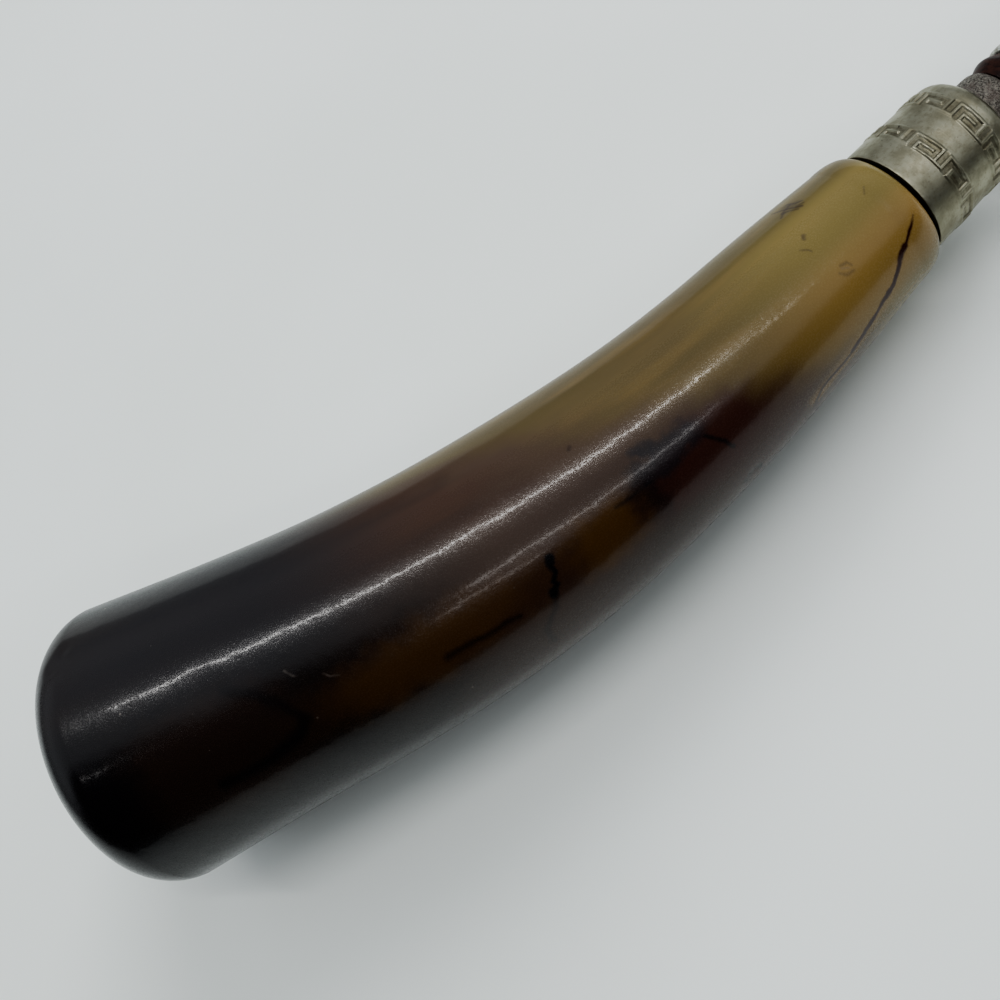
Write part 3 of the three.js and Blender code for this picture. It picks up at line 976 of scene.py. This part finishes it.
def paint_bright_steel(n):
    place = n.place()
    x, y, z = n.split(place)
    radius = n.vector("LENGTH", n.combine(0.0, y, z))
    rings = n.combine(n.math("MULTIPLY", x, 9.0), n.math("MULTIPLY", radius, 9.0), 0.0)
    turning = n.noise(rings, 1.0, detail=3)
    tarnish = n.noise(place, 0.5, detail=5, roughness=0.65)
    colour = n.mix(n.ramp(tarnish, 0.4, 0.7), srgb(190, 192, 186), srgb(138, 132, 120))
    roughness = n.math("ADD", n.ramp(tarnish, 0.3, 0.7, 0.22, 0.45), n.ramp(turning, 0.3, 0.7, 0.0, 0.08))
    normal = n.bump(turning, 0.4, 0.00006)
    n.principled(Base_Color=colour, Metallic=1.0, Roughness=roughness, Normal=normal)


def paint_ribbed_steel(n):
    place = n.place()
    _, y, z = n.split(place)
    radius = n.vector("LENGTH", n.combine(0.0, y, z))
    tarnish = n.noise(place, 0.12, detail=6, roughness=0.65)
    rubs = n.noise(n.vector("MULTIPLY", place, (2.4, 0.5, 0.5)), 1.0, detail=4, roughness=0.7)
    colour = n.mix(n.ramp(tarnish, 0.38, 0.66), srgb(150, 151, 149), srgb(112, 108, 103))
    colour = n.mix(n.ramp(rubs, 0.5, 0.75, 0.0, 0.35), colour, srgb(82, 74, 68))
    groove = n.ramp(radius, STEEL_TIP_RADIUS - 0.1, STEEL_TIP_RADIUS - 0.4, 0.0, 0.4)
    colour = n.mix(groove, colour, srgb(66, 62, 58))
    roughness = n.math("ADD", n.ramp(tarnish, 0.3, 0.7, 0.26, 0.46), n.ramp(rubs, 0.4, 0.7, 0.0, 0.1))
    normal = n.bump(rubs, 0.3, 0.00008)
    n.principled(Base_Color=colour, Metallic=1.0, Roughness=roughness, Normal=normal)


def paint_cement(n):
    coordinates = n.node("ShaderNodeTexCoord").outputs["Object"]
    grain = n.noise(coordinates, 900, detail=4)
    colour = n.mix(n.ramp(grain, 0.35, 0.65), srgb(70, 48, 36), srgb(46, 30, 24))
    n.principled(Base_Color=colour, Roughness=0.85, Normal=n.bump(grain, 0.4, 0.0002))


def paint_table(n):
    coordinates = n.node("ShaderNodeTexCoord").outputs["Object"]
    cloud = n.noise(coordinates, 9, detail=4)
    colour = n.mix(n.ramp(cloud, 0.35, 0.65), srgb(234, 238, 235), srgb(230, 234, 230))
    n.principled(Base_Color=colour, Roughness=0.45)


# ---- stage, lights and camera ----

def build_floor():
    size = 3.0
    corners = [(-size, -size, 0), (size, -size, 0), (size, size, 0), (-size, size, 0)]
    mesh = bpy.data.meshes.new("table")
    mesh.from_pydata(corners, [], [(0, 1, 2, 3)])
    floor = bpy.data.objects.new("table", mesh)
    bpy.context.scene.collection.objects.link(floor)
    floor.data.materials.append(material("table", paint_table))


LIGHT_HEIGHT = 1.2
# Lamps overhead, long but for the last one: the place of each one's middle in metres, its turn about
# Z in degrees, its length, its width and its power.
LAMPS = (
    ((0.0, 0.1), -38, 1.05, 0.036, 3.0),
    ((0.53, -0.39), -45, 0.4, 0.03, 0.3),
    ((0.08, -0.96), -37, 0.95, 0.07, 1.3),
    ((-0.31, -1.04), -53, 0.4, 0.06, 0.35),
    ((-0.77, -0.31), -45, 0.06, 0.06, 0.05),
)
ROOM_STRENGTH = 0.6
SHADE_STRENGTH = 0.02
# Where the room is in shade: below a slanted line on the -Y side, and round one raised direction.
SHADE_SLANT = Vector((0.34, 0.14, 0.93))
SHADE_SIDE = Vector((-0.25, -0.97, 0))
SHADE_SPOT = Vector((-0.62, -0.5, 0.6)).normalized()
SHADE_SPOT_EDGE = 0.68  # radians from the spot's middle to where the shade starts
SHADE_SPOT_CORE = 0.46
HORIZON_SHARE = 0.3  # how bright the room is at the horizon, as a share of what it is higher up
ROOM_COLOUR = (0.9, 0.95, 1.0, 1)
LAMP_COLOUR = (1.0, 0.99, 0.97)

# A broad soft light from the far side of the table, kept out of reflections.
WINDOW_PLACE = Vector((1.05, 0.95, 1.0))
WINDOW_SIZE = 0.9
WINDOW_POWER = 18.0
WINDOW_COLOUR = (0.95, 0.98, 1.0)


def build_window():
    light = bpy.data.lights.new("window", "AREA")
    light.size = WINDOW_SIZE
    light.energy = WINDOW_POWER
    light.color = WINDOW_COLOUR
    window = bpy.data.objects.new(light.name, light)
    bpy.context.scene.collection.objects.link(window)
    window.location = WINDOW_PLACE
    window.rotation_euler = WINDOW_PLACE.to_track_quat("Z", "Y").to_euler()
    window.visible_glossy = False


def build_lights():
    for number, ((x, y), turn, length, width, power) in enumerate(LAMPS):
        light = bpy.data.lights.new(f"lamp_{number}", "AREA")
        light.shape = "RECTANGLE"
        light.size = length
        light.size_y = width
        light.energy = power
        light.color = LAMP_COLOUR
        lamp = bpy.data.objects.new(light.name, light)
        bpy.context.scene.collection.objects.link(lamp)
        lamp.location = (x, y, LIGHT_HEIGHT)
        lamp.rotation_euler = (0, 0, math.radians(turn))


def build_room():
    """A pale room with one side in shade, as where somebody stands at the table."""
    world = bpy.data.worlds.new("room")
    world.use_nodes = True
    n = Nodes(world.node_tree)
    direction = n.node("ShaderNodeTexCoord").outputs["Generated"]
    below_slant = n.ramp(n.vector("DOT_PRODUCT", direction, SHADE_SLANT), 0.6, 0.48)
    at_side = n.ramp(n.vector("DOT_PRODUCT", direction, SHADE_SIDE), 0.1, 0.4)
    from_spot = n.vector("DOT_PRODUCT", direction, SHADE_SPOT)
    spot = n.ramp(from_spot, math.cos(SHADE_SPOT_EDGE), math.cos(SHADE_SPOT_CORE))
    shade = n.math("MAXIMUM", n.math("MULTIPLY", below_slant, at_side), spot)
    strength = n.ramp(shade, 0, 1, ROOM_STRENGTH, SHADE_STRENGTH, smooth=False)
    height = n.split(direction)[2]
    strength = n.math("MULTIPLY", strength, n.ramp(height, 0.0, 0.5, HORIZON_SHARE, 1.0))

    # The camera sees the room without its shade, as a pale backdrop.
    seen = n.node("ShaderNodeLightPath").outputs["Is Camera Ray"]
    strength = n.math("MAXIMUM", strength, n.math("MULTIPLY", seen, ROOM_STRENGTH))
    background = n.node("ShaderNodeBackground", {"Color": ROOM_COLOUR, "Strength": strength})
    output = n.node("ShaderNodeOutputWorld")
    n.tree.links.new(background.outputs[0], output.inputs["Surface"])
    bpy.context.scene.world = world
    bpy.context.scene.view_settings.view_transform = "AgX"
    bpy.context.scene.view_settings.look = "AgX - High Contrast"


# The camera looks down at the handle from its -Y side, with the steel running up to the right.
EYE = (-71.5, -37.4, 161.0)
AIM = (-78.1, 11.9, 0)
PICTURE_TURN = math.radians(-46.3)
LENS = 36.1
SENSOR = 36.0


def build_camera():
    camera = bpy.data.cameras.new("camera")
    camera.lens = LENS
    camera.sensor_width = SENSOR
    camera.clip_start = 0.01
    camera.clip_end = 20
    eye = world_point(*EYE)
    forward = (world_point(*AIM) - eye).normalized()
    right = world_direction(math.cos(PICTURE_TURN), math.sin(PICTURE_TURN), 0)
    right = (right - forward * right.dot(forward)).normalized()
    up = right.cross(forward)
    rig = bpy.data.objects.new("camera", camera)
    bpy.context.scene.collection.objects.link(rig)
    turn = Matrix((right, up, -forward)).transposed()
    rig.matrix_world = Matrix.Translation(eye) @ turn.to_4x4()
    bpy.context.scene.camera = rig


build_camera()
build_floor()
build_window()
build_lights()
build_room()
build_horn()
build_collar()
build_neck()
build_bead()
build_guard()
build_steel()
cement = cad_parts["tang_cement"]
cement.data.materials.clear()
cement.data.materials.append(material("cement", paint_cement))
